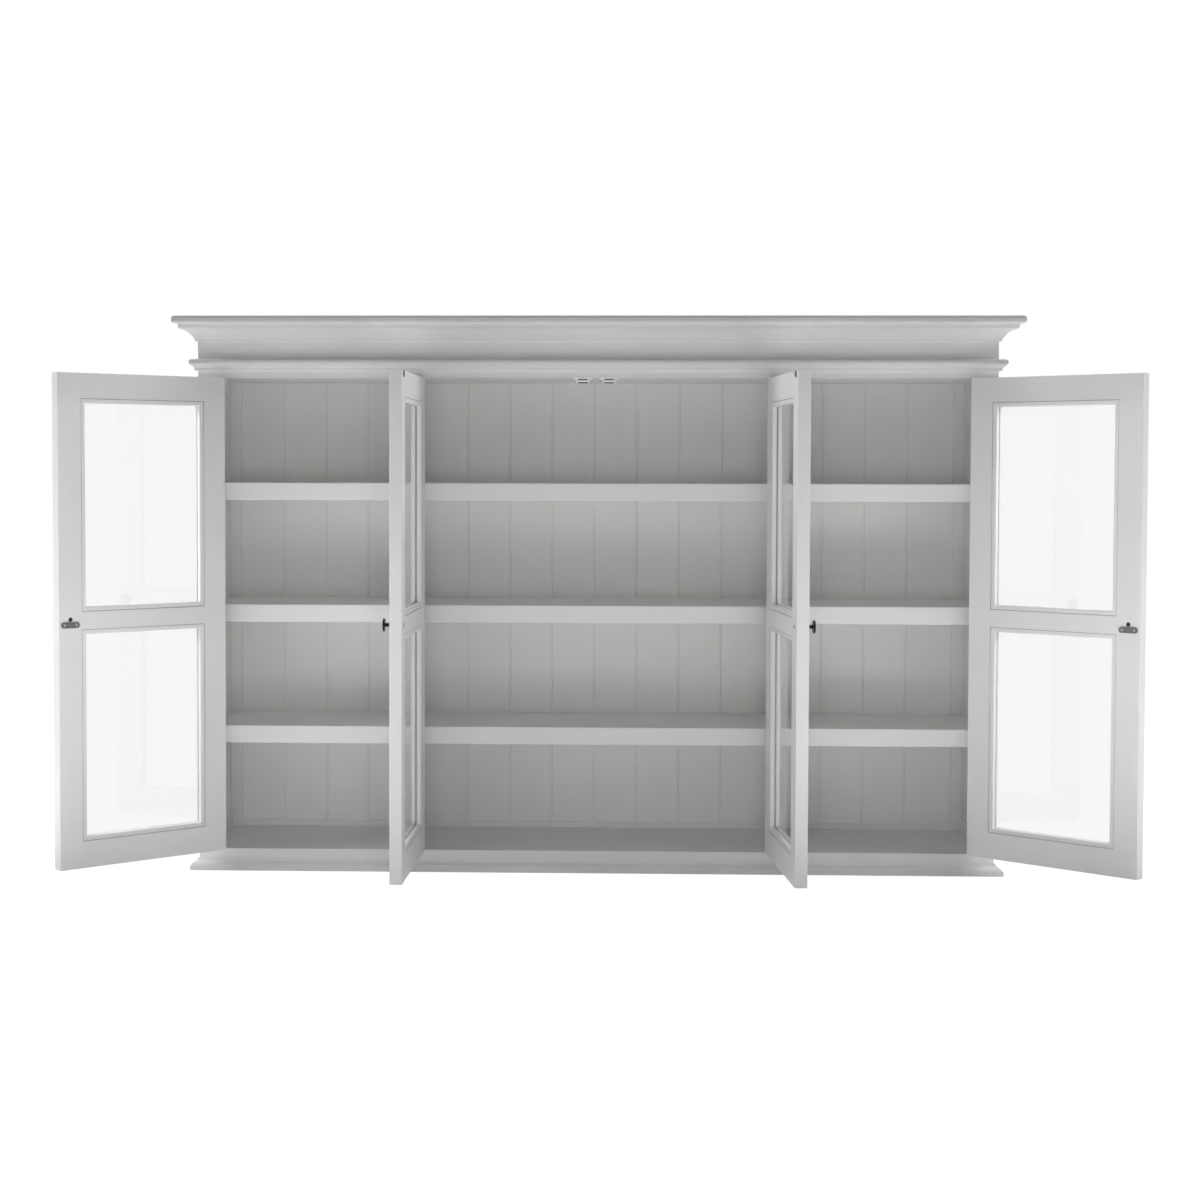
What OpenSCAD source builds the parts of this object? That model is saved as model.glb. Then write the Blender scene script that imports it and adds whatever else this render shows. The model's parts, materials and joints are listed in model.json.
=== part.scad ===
// Buffet hutch: a low, wide, painted carcass of three bays with three shelves, closed by four
// hinged doors of two glass panes each. The origin is at floor level, at the centre of the carcass
// footprint. +X is the right-hand side seen from the front, -Y is the front, and +Z is up.

/* [Carcass] */
// Width over the corner posts
carcass_w = 1704; // [1500:1:1900]
// Depth from the front plane to the back plane
carcass_d = 315; // [290:1:400]
// Width of a corner post across the front
post_w = 43; // [38:1:60]
// Depth of a front post
front_post_d = 43; // [38:1:60]
// Depth of a rear post
rear_post_d = 22; // [20:1:40]
// Thickness of the rails between the posts
rail_t = 22; // [21:1:26]
// Thickness of the two upright partitions
partition_t = 20; // [18:1:30]
// Thickness of a side panel
side_panel_t = 12; // [8:1:13]
// How far a side panel lies in from the outer face of its posts
panel_recess = 7; // [3:1:8]
// How deep a side panel enters its grooves
panel_tongue = 8; // [5:1:10]
// Height of the lower side rails
low_side_rail_h = 75; // [55:1:120]
// Height of the upper side rails
high_side_rail_h = 143; // [120:1:180]

/* [Heights] */
// Height of the bottom rail, up to the floor of the bays
plinth_h = 45; // [35:1:90]
// Clear height between one shelf and the next
clear_h = 225; // [190:1:250]
// Height of the bare rail above the doors
head_h = 15; // [10:1:40]
// Height of the bead moulding below the frieze
bead_h = 24; // [24:1:30]
// Height of the flat frieze
frieze_h = 38; // [20:1:80]
// Height of the hollow part of the cornice
cove_h = 27; // [24:1:34]
// Height of the flat fillet above the hollow
fillet_h = 9; // [6:1:16]
// Thickness of the crown board
crown_t = 16; // [14:1:26]

/* [Boards] */
// Thickness of the shelf boards and of the bottom board
board_t = 20; // [16:1:24]
// Thickness of the inner top board
inner_top_t = 18; // [14:1:24]
// Height of the edging along the front of a shelf
edging_h = 38; // [30:1:50]
// Thickness of the shelf edging
edging_t = 20; // [18:1:30]
// Distance from the front plane to the face of the shelf edging
shelf_setback = 28; // [28:1:50]
// Radius of the softened corners of the shelf edging
edging_r = 2; // [1:0.5:4]
// Width of the cleats under the ends of the shelves
cleat_w = 18; // [12:1:25]
// Thickness of the back boards
back_t = 10; // [9:1:14]
// Spacing of the grooves between the back boards
board_pitch = 96; // [70:1:130]
// Least width of the board at either end of a bay
end_board_min = 24; // [15:1:40]
// Width of the bead worked along the right edge of each back board
board_bead_w = 5; // [3:0.5:8]
// Width of the quirk between that bead and the face of the board
quirk_w = 1; // [0.6:0.1:2]
// Depth of that quirk
quirk_d = 1; // [0.8:0.1:2.5]
// Thickness of the tongue between two back boards
tongue_t = 3; // [2:0.5:4]
// Length of the tongue between two back boards
tongue_l = 6; // [4:0.5:8]
// Height of the batten at the foot of the back boards
batten_h = 12; // [8:1:20]
// Depth of that batten
batten_d = 8; // [6:1:15]
// Width of the three bearers under the bottom board
bearer_w = 43; // [25:1:70]
// Radius of the softened long edges of posts, partitions, rails and doors
arris = 1; // [0.5:0.25:2]

/* [Mouldings] */
// How far the crown board stands out in front and at the sides
crown_proj = 48; // [45:1:60]
// Radius of the upper edge of the crown board
crown_upper_r = 7; // [3:0.5:8]
// Radius of the lower edge of the crown board
crown_lower_r = 5; // [2:0.5:5]
// How far the cornice hollow stands out at its top
cove_proj = 36; // [30:0.5:40]
// How far the cornice hollow stands out at its foot
cove_foot = 5; // [3:0.5:8]
// Height of the upright foot of the cornice hollow
cove_foot_h = 2.5; // [1:0.5:4]
// Width of the small slope between the hollow and the fillet
cove_step_w = 3; // [1:0.5:5]
// Height of that slope
cove_step_h = 2; // [1:0.5:4]
// Depth of the cornice hollow below a straight slope
cove_sag = 4.5; // [3:0.5:6]
// Radius of the round nose of the bead moulding
bead_nose_r = 7; // [5:0.5:8]
// How far the centre of that nose stands out
bead_nose_proj = 10; // [8:0.5:14]
// Angle to which that nose turns under
bead_nose_turn = 60; // [45:5:75]
// Size of the step from the nose to the hollow below it
bead_quirk = 1.8; // [1:0.1:2.5]
// How far the foot of the bead moulding stands out
bead_foot = 6; // [4:0.5:7]
// Height of that foot
bead_foot_h = 3; // [2:0.5:4]
// Depth of the hollow in the bead moulding
bead_sag = 1.2; // [0.6:0.1:1.5]
// Height of the base moulding
base_h = 25; // [25:1:34]
// How far the base moulding stands out
base_proj = 18; // [16:1:26]
// Height of the flat foot of the base moulding
base_foot_h = 10.5; // [8:0.5:12]
// Width of the flat on top of that foot
base_step = 3; // [1:0.5:4]
// Radius of the round above that foot
base_round_r = 5.5; // [4:0.5:6]
// Size of the step from the round to the hollow above it
base_quirk = 0.8; // [0.4:0.1:1.5]
// Width of the upper edge of the base moulding
base_edge = 3; // [2:0.5:5]
// Depth of the hollow in the base moulding
base_sag = 1.8; // [1:0.1:2.2]

/* [Doors] */
// Gap all round a closed door
door_gap = 2; // [2:0.5:4]
// Thickness of a door
door_t = 25; // [22:0.5:26]
// Width of the stiles
stile_w = 51.5; // [46:0.5:65]
// Width of the top rail of a door
door_top_w = 51.5; // [40:0.5:80]
// Width of the middle rail of a door
door_mid_w = 36.5; // [30:0.5:60]
// Width of the bottom rail of a door
door_low_w = 55; // [40:0.5:90]
// Width of the lip and of the beads that hold the glass
lip_w = 10; // [6:0.5:14]
// Thickness of the lip in front of the glass
lip_t = 9; // [8:0.5:10]
// Radius of the rounded edge of the lip
lip_r = 5; // [2:0.5:6]
// Thickness of the glass
glass_t = 4; // [3:0.5:4]
// How far the beads lie in from the inner face of the door
bead_set = 1; // [0:0.5:2]
// Radius of the rounded edge of a glazing bead
bead_arris = 2.5; // [1:0.5:4]
// Width of the quirk between a glazing bead and its frame
glazing_quirk_w = 1; // [0.6:0.1:1.5]
// Depth of that quirk
glazing_quirk_d = 2; // [1:0.5:3]
// Length of the tenons of the door rails
tenon_l = 20; // [12:1:20]
// Thickness of those tenons
tenon_t = 8; // [6:0.5:8]
// How much narrower a tenon is at each edge than its rail
tenon_shoulder = 6; // [3:0.5:10]

/* [Hinges] */
// Height of a hinge
hinge_h = 50; // [40:1:76]
// Distance from the end of a door to the middle of its hinge
hinge_inset = 110; // [70:1:160]
// Width of a hinge leaf
leaf_w = 20; // [18:0.5:24]
// Thickness of a hinge leaf
leaf_t = 1.6; // [1.5:0.1:2]
// Radius of a hinge knuckle
knuckle_r = 3.5; // [3:0.1:3.8]
// Gap between two knuckles
knuckle_gap = 0.3; // [0.2:0.1:0.6]
// Radius of a hinge pin
pin_r = 1.5; // [1.2:0.1:1.8]
// Distance of the pin axis in front of the front plane
pin_out = 4.5; // [4.3:0.1:6]
// Radius of the head of a pin
pin_head_r = 2.6; // [2:0.1:3]
// Height of the head of a pin
pin_head_h = 1.5; // [1:0.1:2.5]

/* [Fasteners] */
// Shank diameter of the countersunk screws
screw_d = 3; // [2.5:0.1:3.2]
// Head diameter of the countersunk screws
screw_head_d = 6; // [5:0.1:6.2]
// Length of the hinge screws
hinge_screw_l = 14; // [10:1:15]
// Distance of a hinge screw from the end of its leaf
hinge_screw_end = 10; // [7:0.5:13]
// Distance of a hinge screw from the long edges of its leaf
hinge_screw_side = 7; // [5:0.5:9]
// Length of the screws of the strike plates
strike_screw_l = 8; // [6:0.5:9]
// Diameter of the bolt that holds a knob
knob_bolt_d = 4; // [3:0.5:4]
// Diameter of the domed head of that bolt
knob_bolt_head_d = 9; // [7:0.5:10]
// Height of that head
knob_bolt_head_h = 1.8; // [1:0.1:2]
// Width of the slot in that head
knob_bolt_slot_w = 1; // [0.6:0.1:1.5]
// Length of that bolt inside the knob
knob_thread_l = 9; // [6:0.5:10]

/* [Knobs] */
// Diameter of a knob
knob_d = 26; // [20:1:32]
// Thickness of the head of a knob
knob_t = 5; // [3:0.5:6]
// Height of the domed face of a knob
knob_dome = 1.6; // [1:0.1:2]
// Width of the slope behind the rim of a knob
knob_bevel = 1; // [0.5:0.1:1.2]
// Diameter of the neck of a knob
knob_neck_d = 7.5; // [7:0.5:12]
// Diameter of the collar where the neck meets the door
knob_collar_d = 12; // [12:0.5:18]
// Height of that collar
knob_collar_h = 1.5; // [1:0.5:3]
// How far a knob stands out from its door
knob_out = 16.5; // [15:0.5:20]
// Distance from the free edge of the door to the knob
knob_edge = 25.5; // [22:0.5:28]
// Height of the knob above the centre line of the middle rail
knob_rise = 3.25; // [2:0.25:6]

/* [Catches] */
// Thickness of the strike plates
strike_t = 2; // [1:0.5:2]
// Length of a long strike plate
strike_l = 41; // [36:1:44]
// Height of a long strike plate
strike_h = 12; // [9:0.5:12]
// Distance from the free edge of the door to a long strike plate
strike_edge = 4.5; // [3:0.5:6]
// How far a long strike plate lies below the centre line of the middle rail
strike_drop = 8; // [7.5:0.5:10]
// Distance between the two screws of a long strike plate
strike_pitch = 26; // [20:1:28]
// Diameter of a round strike plate
disc_d = 13; // [11:0.5:14]
// Distance from the free edge of the door to the middle of a round strike plate
disc_edge = 26; // [24:0.5:30]
// Width of a catch under the inner top
catch_w = 27.5; // [24:0.5:34]
// Height of that catch
catch_h = 12.5; // [12.5:0.5:18]
// Depth of that catch
catch_d = 20; // [18:1:26]
// Length over its two ears
catch_ears = 41; // [40:1:48]
// Thickness of its ears
ear_t = 3; // [2.5:0.5:4]
// Depth of its ears
ear_d = 12; // [8:1:14]
// Length of the screws through its ears
ear_screw_l = 12; // [8:1:14]
// How far the magnet of that catch lies above the middle of its strike plate
catch_rise = 2; // [1.5:0.5:2.5]
// Length of a catch let into the shelf edging
shelf_catch_l = 22; // [20:1:28]
// Height of that catch
shelf_catch_h = 12; // [11:0.5:13]
// How deep it is let into the edging
shelf_catch_seat = 13; // [8:1:15]
// How far its middle lies from the middle of the strike plate, towards the partition
shelf_catch_shift = 8.5; // [6:0.5:9]
// Width of the magnet and pole plates in a catch under the inner top
pole_w = 21; // [16:1:22]
// Width of those in a catch let into the shelf edging
shelf_pole_w = 16; // [12:1:17]
// Thickness of a pole plate
pole_t = 2; // [1:0.5:2.5]
// Depth of the pole plates inside the catch
pole_d = 12; // [6:0.5:12]
// How far the pole plates stand out from the catch
pole_proud = 0.7; // [0.3:0.1:0.7]
// Thickness of the magnet between the pole plates
magnet_t = 5; // [3:0.5:5]
// How far the magnet lies behind the face of its catch
magnet_set = 2; // [0.5:0.5:4]
// Gap between the pole plates and the strike plate of a closed door
catch_gap = 0.3; // [0.1:0.1:0.3]

/* [Fits] */
// Hairline at a glued joint between two pieces of wood
joint_gap = 0.1; // [0.05:0.01:0.2]
// Clearance at the bottom of a groove
groove_gap = 0.5; // [0.2:0.1:1]
// Clearance between the faces of two back boards
board_gap = 0.2; // [0.1:0.1:0.5]
// Clearance round the glass in its rebate
glass_gap = 1; // [0.5:0.5:2]
// Radial running clearance of a hinge pin
pin_clear = 0.05; // [0.03:0.01:0.1]
// Radial clearance round a screw
screw_clear = 0.05; // [0.03:0.01:0.1]

/* [Pose] */
// How far the two outer doors stand open at rest
outer_open_angle = 138.5; // [0:0.5:175]
// How far the left inner door stands open at rest
left_inner_open_angle = 92; // [0:0.5:150]
// How far the right inner door stands open at rest
right_inner_open_angle = 94; // [0:0.5:150]

/* [Hidden] */
// Segments of a round
$fn = 64;
// How far a cutting shape runs past the face that it cuts
over = 1;
// Colours as the photo shows them
paint = [0.93, 0.93, 0.92];
shade = [0.86, 0.86, 0.85];
bronze = [0.16, 0.13, 0.11];
copper = [0.45, 0.30, 0.20];
steel = [0.62, 0.63, 0.64];
white_plastic = [0.95, 0.95, 0.94];
dark_iron = [0.22, 0.22, 0.23];
pane_glass = [0.85, 0.92, 0.92, 0.35];

// Planes of the carcass
half_w = carcass_w / 2;
front = -carcass_d / 2;
back = carcass_d / 2;
post_in = half_w - post_w;
panel_out = half_w - panel_recess;
panel_in = panel_out - side_panel_t;
back_face = back - back_t;
bay_w = (2 * post_in - 2 * partition_t) / 4;
partition_out = bay_w + partition_t;

// Levels, counted up from the floor
shelf_step = clear_h + edging_h;
opening_z = plinth_h + 4 * clear_h + 3 * edging_h;
bead_z = opening_z + head_h;
frieze_z = bead_z + bead_h;
cove_z = frieze_z + frieze_h;
crown_z = cove_z + cove_h + fillet_h;
high_side_rail_z = crown_z - high_side_rail_h;

// Shelves
edging_y = front + shelf_setback;
shelf_board_y = edging_y + edging_t + joint_gap;
cleat_h = edging_h - board_t;

// Doors, with the pin of a left-hand door at x = 0 and its outer face at y = 0
door_w = bay_w - 2 * door_gap;
door_z0 = plinth_h + door_gap;
door_z1 = opening_z - door_gap;
door_x0 = door_gap / 2;
door_x1 = door_x0 + door_w;
pane_x0 = door_x0 + stile_w;
pane_x1 = door_x1 - stile_w;
pane_w = pane_x1 - pane_x0;
pane_h = (door_z1 - door_z0 - door_top_w - door_mid_w - door_low_w) / 2;
low_pane_z = door_z0 + door_low_w;
high_pane_z = low_pane_z + pane_h + door_mid_w;
mid_rail_z = low_pane_z + pane_h + door_mid_w / 2;
bead_y0 = lip_t + glass_t;
bead_y1 = door_t - bead_set;
tenon_y = (door_t - tenon_t) / 2;

// Hinges
pin_outer = post_in - door_x0;
pin_inner = bay_w - door_x0;
hinge_zs = [door_z0 + hinge_inset, (door_z0 + door_z1) / 2, door_z1 - hinge_inset];
knuckle_l = (hinge_h - 2 * knuckle_gap) / 3;
end_knuckles = [-hinge_h / 2, hinge_h / 2 - knuckle_l];
middle_knuckle = [-knuckle_l / 2];

// Knobs, strike plates and catches
knob_x = door_x1 - knob_edge;
knob_z = mid_rail_z + knob_rise;
strike_x = door_x1 - strike_edge - strike_l / 2;
strike_z = mid_rail_z - strike_drop;
disc_x = door_x1 - disc_edge;
disc_z = door_z1 - disc_d / 2;
pole_y = front + door_t + strike_t + catch_gap;
catch_y = pole_y + pole_proud;
catch_x = door_gap + disc_edge;
shelf_catch_x = partition_out + door_gap + strike_edge + strike_l / 2 - shelf_catch_shift;
shelf_catch_d = edging_y + shelf_catch_seat - catch_y;
countersink_h = (screw_head_d - screw_d) / 2;
board_bead_r = pow(board_bead_w, 2) / (8 * quirk_d) + quirk_d / 2;

// Top of shelf number i, counted from below
function shelf_z(i) = plinth_h + i * shelf_step;

// Centre of an arc of the given sagitta from a to b, on the right-hand side of that line
function arc_radius(a, b, sag) = pow(norm(b - a), 2) / (8 * sag) + sag / 2;
function arc_centre(a, b, sag) =
    (a + b) / 2 + [b[1] - a[1], a[0] - b[0]] / norm(b - a) * (arc_radius(a, b, sag) - sag);

// Places of the grooves between the back boards of a bay
function groove_count(x0, x1) = floor(((x1 - x0) / 2 - end_board_min) / board_pitch);
function board_edges(x0, x1) = concat(
    [x0],
    [for (i = [-groove_count(x0, x1):groove_count(x0, x1)]) (x0 + x1) / 2 + i * board_pitch],
    [x1]);

// A box between two opposite corners
module block(a, b) translate(a) cube(b - a);

// A rectangle from a to b. Its corners listed in soft are rounded: 0 is the low side, 1 the high.
module soft_rect(a, b, soft) {
    difference() {
        translate(a) square(b - a);
        for (c = soft) translate([c[0] ? b[0] : a[0], c[1] ? b[1] : a[1]]) square(2 * arris, center = true);
    }
    for (c = soft)
        translate([c[0] ? b[0] - arris : a[0] + arris, c[1] ? b[1] - arris : a[1] + arris])
            circle(arris, $fn = 32);
}

// An upright between two opposite corners, with softened edges given by its outline seen from above
module soft_upright(a, b, soft) translate([0, 0, a[2]])
    linear_extrude(b[2] - a[2]) soft_rect([a[0], a[1]], [b[0], b[1]], soft);

// A rail along X between two opposite corners, with softened edges given by its section
module soft_rail(a, b, soft) translate([a[0], 0, 0]) rotate([90, 0, 90])
    linear_extrude(b[0] - a[0]) soft_rect([a[1], a[2]], [b[1], b[2]], soft);

module both_sides() {
    children();
    mirror([1, 0, 0]) children();
}

// Screws and their holes point down from the face that the head lies in
module screw(l) difference() {
    union() {
        translate([0, 0, -countersink_h])
            cylinder(d1 = screw_d, d2 = screw_head_d, h = countersink_h, $fn = 32);
        translate([0, 0, -l]) cylinder(d = screw_d, h = l - countersink_h / 2, $fn = 32);
    }
    slot_w = screw_d / 4;
    slot_h = countersink_h / 2;
    block([-screw_head_d, -slot_w / 2, -slot_h], [screw_head_d, slot_w / 2, over]);
}

module screw_hole(l) {
    grow = 2 * screw_clear;
    translate([0, 0, -countersink_h - screw_clear])
        cylinder(d1 = screw_d + grow, d2 = screw_head_d + grow, h = countersink_h + screw_clear, $fn = 32);
    cylinder(d = screw_head_d + grow, h = over, $fn = 32);
    translate([0, 0, -l - screw_clear]) cylinder(d = screw_d + grow, h = l, $fn = 32);
}

// Where the two screws of a hinge leaf go, with the pin axis at the origin and the leaf towards +X
module at_leaf_screws() for (end = [-1, 1])
    translate([door_x0, pin_out + leaf_w / 2 + end * (leaf_w / 2 - hinge_screw_side),
               end * (hinge_h / 2 - hinge_screw_end)])
        rotate([0, -90, 0]) children();

// One leaf of a hinge with knuckles from the given heights up
module hinge_leaf(knuckles) difference() {
    union() {
        block([door_x0, pin_out, -hinge_h / 2], [door_x0 + leaf_t, pin_out + leaf_w, hinge_h / 2]);
        for (z = knuckles) {
            translate([0, 0, z]) cylinder(r = knuckle_r, h = knuckle_l);
            block([door_x0, 0, z], [door_x0 + leaf_t, pin_out, z + knuckle_l]);
        }
    }
    cylinder(r = pin_r + pin_clear, h = hinge_h + 2 * over, center = true);
    at_leaf_screws() screw_hole(hinge_screw_l);
}

// The seat that is cut for a leaf, with the holes of its screws
module hinge_seat() {
    block([door_x0 - over, pin_out - over, -hinge_h / 2 - joint_gap],
          [door_x0 + leaf_t, pin_out + leaf_w + joint_gap, hinge_h / 2 + joint_gap]);
    at_leaf_screws() screw_hole(hinge_screw_l);
}

module at_hinges(pin_x) for (z = hinge_zs) translate([-pin_x, front - pin_out, z]) children();

// Posts, panels and rails

// The space of the left side panel with its four edges, widened by the clearance of its grooves
module panel_space(gap)
    block([-panel_out, front + front_post_d - panel_tongue - gap, low_side_rail_h - panel_tongue - gap],
          [-panel_in, back - rear_post_d + panel_tongue + gap, high_side_rail_z + panel_tongue + gap]);

module front_post() difference() {
    soft_upright([-half_w, front, 0], [-post_in, front + front_post_d, crown_z], [[0, 0], [1, 0]]);
    panel_space(groove_gap);
    at_hinges(pin_outer) mirror([1, 0, 0]) hinge_seat();
}

module rear_post() difference() {
    soft_upright([-half_w, back - rear_post_d, 0], [-post_in, back, crown_z], [[0, 1], [1, 0]]);
    panel_space(groove_gap);
}

module front_post_left() color(paint) front_post();
module front_post_right() color(paint) mirror([1, 0, 0]) front_post();
module rear_post_left() color(paint) rear_post();
module rear_post_right() color(paint) mirror([1, 0, 0]) rear_post();
module side_panel_left() color(paint) panel_space(0);
module side_panel_right() color(paint) mirror([1, 0, 0]) panel_space(0);

module side_rails() color(paint) both_sides() difference() {
    for (span = [[0, low_side_rail_h], [high_side_rail_z, crown_z]])
        block([-half_w, front + front_post_d, span[0]],
              [-half_w + rail_t, back - rear_post_d, span[1]]);
    panel_space(groove_gap);
}

module partition() difference() {
    soft_upright([-partition_out, front, plinth_h], [-bay_w, back, opening_z], [[0, 0], [1, 0]]);
    at_hinges(pin_inner) mirror([1, 0, 0]) hinge_seat();
}

module partition_left() color(paint) partition();
module partition_right() color(paint) mirror([1, 0, 0]) partition();

module frieze_rail() color(paint)
    soft_rail([-post_in, front, opening_z], [post_in, front + rail_t, crown_z], [[0, 0]]);

module bottom_rail() color(paint)
    soft_rail([-post_in, front, 0], [post_in, front + rail_t, plinth_h], [[0, 1]]);

module back_rails() color(paint) for (span = [[0, plinth_h - board_t], [opening_z + inner_top_t, crown_z]])
    block([-post_in, back - rail_t, span[0]], [post_in, back, span[1]]);

module base_bearers() color(shade) for (side = [-1:1]) {
    x = side * (partition_out - partition_t / 2);
    block([x - bearer_w / 2, front + rail_t, 0], [x + bearer_w / 2, back - rail_t, plinth_h - board_t]);
}

// A board across the whole carcass, notched round the four posts
module full_board(z0, z1) difference() {
    block([-half_w + rail_t, front + rail_t, z0], [half_w - rail_t, back, z1]);
    both_sides() {
        block([-half_w, front, z0 - over], [-post_in, front + front_post_d, z1 + over]);
        block([-half_w, back - rear_post_d, z0 - over], [-post_in, back + over, z1 + over]);
    }
}

module bottom_board() color(paint) full_board(plinth_h - board_t, plinth_h);

module inner_top() color(paint) difference() {
    full_board(opening_z, opening_z + inner_top_t);
    both_sides() at_ear_screws() screw_hole(ear_screw_l);
}

// Back boards

// Cut that leaves a bead between two quirks along the right edge of a back board
module quirks(xr) difference() {
    translate([xr - board_bead_w - quirk_w, back_face - over])
        square([board_bead_w + quirk_w + over, quirk_d + over]);
    translate([xr - board_bead_w / 2, back_face + board_bead_r]) circle(board_bead_r, $fn = 64);
}

// Outline of one back board seen from above, with a groove on its left and a tongue on its right
module back_board(x0, x1, first, last) {
    gap = board_gap / 2;
    mid = back - back_t / 2;
    half = tongue_t / 2;
    xl = x0 + gap;
    xr = x1 - gap;
    left_edge = first
        ? [[x0, back], [x0, back_face]]
        : [[xl, back], [xl, mid + half + gap], [xl + tongue_l + gap, mid + half + gap],
           [xl + tongue_l + gap, mid - half - gap], [xl, mid - half - gap], [xl, back_face]];
    right_edge = last
        ? [[x1, back_face], [x1, back]]
        : [[xr, back_face], [xr, mid - half], [xr + tongue_l, mid - half],
           [xr + tongue_l, mid + half], [xr, mid + half], [xr, back]];
    translate([0, 0, plinth_h]) linear_extrude(opening_z - plinth_h) difference() {
        polygon(concat(left_edge, right_edge));
        if (!last) quirks(xr);
    }
}

module bay_boards(x0, x1) {
    edges = board_edges(x0, x1);
    last = len(edges) - 2;
    for (i = [0:last]) back_board(edges[i], edges[i + 1], i == 0, i == last);
}

module back_boards_left() color(paint) bay_boards(-post_in, -partition_out);
module back_boards_centre() color(paint) bay_boards(-bay_w, bay_w);
module back_boards_right() color(paint) bay_boards(partition_out, post_in);

module back_battens() color(paint)
    for (span = [[-post_in, -partition_out], [-bay_w, bay_w], [partition_out, post_in]])
        block([span[0], back_face - batten_d, plinth_h], [span[1], back_face, plinth_h + batten_h]);

// Shelves

// Shelf edging between two places, its front corners softened
module edging(x0, x1, top) translate([x0, edging_y, top - edging_h]) rotate([90, 0, 90])
    linear_extrude(x1 - x0) {
        translate([edging_r, 0]) square([edging_t - edging_r, edging_h]);
        translate([0, edging_r]) square([edging_t, edging_h - 2 * edging_r]);
        for (z = [edging_r, edging_h - edging_r]) translate([edging_r, z]) circle(edging_r, $fn = 32);
    }

module side_shelf_board(top) difference() {
    block([-panel_in, shelf_board_y, top - board_t], [-partition_out, back_face, top]);
    block([-half_w, front, top - edging_h], [-post_in, front + front_post_d, top + over]);
    block([-half_w, back - rear_post_d, top - edging_h], [-post_in, back, top + over]);
}

module shelf_level(i) {
    top = shelf_z(i);
    both_sides() {
        side_shelf_board(top);
        edging(-post_in, -partition_out, top);
    }
    block([-bay_w, shelf_board_y, top - board_t], [bay_w, back_face, top]);
    edging(-bay_w, bay_w, top);
}

module lower_shelves() color(paint) shelf_level(1);
module upper_shelves() color(paint) shelf_level(3);

module middle_shelves() color(paint) difference() {
    shelf_level(2);
    both_sides() shelf_catch_space(joint_gap);
}

module shelf_cleats() color(shade) both_sides() for (i = [1:3]) {
    z0 = shelf_z(i) - edging_h;
    z1 = z0 + cleat_h;
    y0 = max(shelf_board_y, front + front_post_d);
    block([-panel_in, y0, z0], [-panel_in + cleat_w, back - rear_post_d, z1]);
    block([-partition_out - cleat_w, shelf_board_y, z0], [-partition_out, back_face, z1]);
    block([-bay_w, shelf_board_y, z0], [-bay_w + cleat_w, back_face, z1]);
}

// Mouldings. Each profile is drawn with x outwards from the carcass and y up.

// What a hollow between a and b takes away from the straight slope between them
module hollow(a, b, sag) intersection() {
    translate(arc_centre(a, b, sag)) circle(arc_radius(a, b, sag), $fn = 128);
    translate([min(a[0], b[0]), min(a[1], b[1])]) square([abs(b[0] - a[0]), abs(b[1] - a[1])]);
}

module crown_profile(inner) {
    lower_x = crown_proj - crown_lower_r;
    upper_x = crown_proj - crown_upper_r;
    translate([-inner, 0]) square([inner + upper_x, crown_t]);
    translate([-inner, 0]) square([inner + lower_x, crown_t - crown_upper_r]);
    translate([-inner, crown_lower_r]) square([inner + crown_proj, crown_t - crown_lower_r - crown_upper_r]);
    translate([upper_x, crown_t - crown_upper_r]) circle(crown_upper_r);
    translate([lower_x, crown_lower_r]) circle(crown_lower_r);
}

module crown_top() color(paint) intersection() {
    translate([-half_w - crown_proj, front, crown_z]) rotate([90, 0, 90])
        linear_extrude(carcass_w + 2 * crown_proj) mirror([1, 0]) crown_profile(carcass_d);
    translate([0, back, crown_z]) rotate([90, 0, 0]) linear_extrude(carcass_d + crown_proj) {
        translate([half_w, 0]) crown_profile(half_w);
        mirror([1, 0]) translate([half_w, 0]) crown_profile(half_w);
    }
}

// A moulding in three pieces round the front and both sides, mitred at the two front corners
module moulding(proj, z) {
    reach = proj + over;
    intersection() {
        translate([-half_w - reach, front, z]) rotate([90, 0, 90])
            linear_extrude(carcass_w + 2 * reach) mirror([1, 0]) children();
        edge = half_w - joint_gap;
        linear_extrude(z + crown_z) polygon([
            [-edge, front + over], [-edge, front], [-edge - reach, front - reach],
            [edge + reach, front - reach], [edge, front], [edge, front + over]]);
    }
    both_sides() intersection() {
        translate([half_w, back, z]) rotate([90, 0, 0]) linear_extrude(carcass_d + reach) children();
        linear_extrude(z + crown_z) polygon([
            [half_w - over, front], [half_w, front], [half_w + reach, front - reach],
            [half_w + reach, back + over], [half_w - over, back + over]]);
    }
}

module crown_cove() color(paint) moulding(cove_proj, cove_z) {
    foot = [cove_foot, cove_foot_h];
    lip = [cove_proj - cove_step_w, cove_h - cove_step_h];
    difference() {
        polygon([[0, 0], [cove_foot, 0], foot, lip, [cove_proj, cove_h],
                 [cove_proj, cove_h + fillet_h], [0, cove_h + fillet_h]]);
        hollow(foot, lip, cove_sag);
    }
}

module crown_bead() color(paint) moulding(bead_nose_proj + bead_nose_r, bead_z) {
    nose = [bead_nose_proj, bead_h - bead_nose_r];
    nose_end = nose + bead_nose_r * [cos(bead_nose_turn), -sin(bead_nose_turn)];
    quirk = nose_end - [bead_quirk, bead_quirk];
    foot = [bead_foot, bead_foot_h];
    translate(nose) circle(bead_nose_r);
    difference() {
        polygon([[0, 0], [bead_foot, 0], foot, quirk, nose_end, nose, [bead_nose_proj, bead_h], [0, bead_h]]);
        hollow(foot, quirk, bead_sag);
    }
}

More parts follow.
